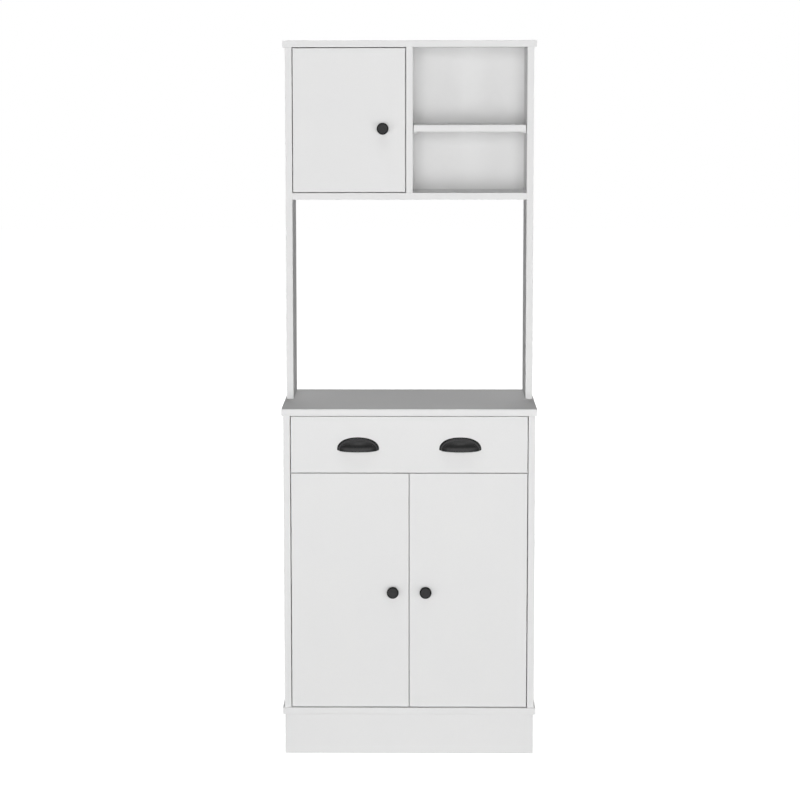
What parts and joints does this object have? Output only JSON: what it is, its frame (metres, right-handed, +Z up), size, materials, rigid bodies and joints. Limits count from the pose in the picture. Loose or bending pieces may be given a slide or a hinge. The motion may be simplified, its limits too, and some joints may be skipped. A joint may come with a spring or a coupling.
{
  "type": "microwave cabinet",
  "caption": "Tall free-standing kitchen cabinet: drawer over a pair of inset doors, open microwave bay above the worktop, and a shallow hutch with a door and open shelves.",
  "frame": {"origin": "on the floor, under the middle of the whole cabinet with its handles", "axes": "+Z up, +X to the right as seen from the front, +Y towards the back, so the doors and the drawer face -Y"},
  "size_m": [0.604, 0.404, 1.686],
  "materials": {
    "white_board": "white melamine-faced board, low sheen",
    "white_hardboard": "thin white-faced hardboard",
    "black_metal": "satin black",
    "zinc_steel": "zinc-plated pressed steel"
  },
  "bodies": {
    "cabinet": {"worktop": "white_board", "base_floor": "white_board", "plinth_front": "white_board", "plinth_side_left": "white_board", "plinth_side_right": "white_board", "plinth_back": "white_board", "base_side_left": "white_board", "base_side_right": "white_board", "drawer_rail": "white_board", "base_shelf": "white_board", "base_back": "white_hardboard", "hutch_side_left": "white_board", "hutch_side_right": "white_board", "hutch_floor": "white_board", "hutch_divider": "white_board", "hutch_top": "white_board", "open_shelf": "white_board", "hutch_back": "white_hardboard", "slide_fixed_left": "zinc_steel", "slide_fixed_right": "zinc_steel", "left_hinge_arm_lower": "zinc_steel", "left_hinge_arm_upper": "zinc_steel", "right_hinge_arm_lower": "zinc_steel", "right_hinge_arm_upper": "zinc_steel", "hutch_hinge_arm_lower": "zinc_steel", "hutch_hinge_arm_upper": "zinc_steel"},
    "drawer": {"drawer_front": "white_board", "drawer_side_left": "white_board", "drawer_side_right": "white_board", "drawer_back": "white_board", "drawer_bottom": "white_hardboard", "slide_drawer_left": "zinc_steel", "slide_drawer_right": "zinc_steel", "cup_pull_left": "black_metal", "cup_pull_right": "black_metal"},
    "slide_middles": {"slide_middle_left": "zinc_steel", "slide_middle_right": "zinc_steel"},
    "left_links": {"left_hinge_link_lower": "zinc_steel", "left_hinge_link_upper": "zinc_steel"},
    "left_door": {"left_door": "white_board", "left_knob": "black_metal", "left_hinge_cup_lower": "zinc_steel", "left_hinge_cup_upper": "zinc_steel"},
    "right_links": {"right_hinge_link_lower": "zinc_steel", "right_hinge_link_upper": "zinc_steel"},
    "right_door": {"right_door": "white_board", "right_knob": "black_metal", "right_hinge_cup_lower": "zinc_steel", "right_hinge_cup_upper": "zinc_steel"},
    "hutch_links": {"hutch_hinge_link_lower": "zinc_steel", "hutch_hinge_link_upper": "zinc_steel"},
    "hutch_door": {"hutch_door": "white_board", "hutch_knob": "black_metal", "hutch_hinge_cup_lower": "zinc_steel", "hutch_hinge_cup_upper": "zinc_steel"}
  },
  "joints": [
    {"name": "drawer_slide", "type": "slide", "parent": "cabinet", "child": "drawer", "axis": [0, -1, 0], "range_m": [0, 0.33]},
    {"name": "slide_middle_travel", "type": "slide", "parent": "cabinet", "child": "slide_middles", "axis": [0, -1, 0], "range_m": [0, 0.165]},
    {"name": "left_link_swing", "type": "hinge", "parent": "cabinet", "child": "left_links", "pos_m": [-0.249, -0.158, 0.3955], "axis": [0, 0, -1], "range_deg": [-45, 0]},
    {"name": "left_door_swing", "type": "hinge", "parent": "left_links", "child": "left_door", "pos_m": [-0.2675, -0.167, 0.3955], "axis": [0, 0, -1], "range_deg": [0, 140]},
    {"name": "right_link_swing", "type": "hinge", "parent": "cabinet", "child": "right_links", "pos_m": [0.249, -0.158, 0.3955], "axis": [0, 0, 1], "range_deg": [-45, 0]},
    {"name": "right_door_swing", "type": "hinge", "parent": "right_links", "child": "right_door", "pos_m": [0.2675, -0.167, 0.3955], "axis": [0, 0, 1], "range_deg": [0, 140]},
    {"name": "hutch_link_swing", "type": "hinge", "parent": "cabinet", "child": "hutch_links", "pos_m": [-0.249, 0.032, 1.4975], "axis": [0, 0, -1], "range_deg": [-45, 0]},
    {"name": "hutch_door_swing", "type": "hinge", "parent": "hutch_links", "child": "hutch_door", "pos_m": [-0.2675, 0.023, 1.4975], "axis": [0, 0, -1], "range_deg": [0, 140]}
  ],
  "couplings": [
    {"joint": "slide_middle_travel", "follows": "drawer_slide", "ratio": 0.5},
    {"joint": "left_link_swing", "follows": "left_door_swing", "ratio": -0.32},
    {"joint": "right_link_swing", "follows": "right_door_swing", "ratio": -0.32},
    {"joint": "hutch_link_swing", "follows": "hutch_door_swing", "ratio": -0.32}
  ]
}
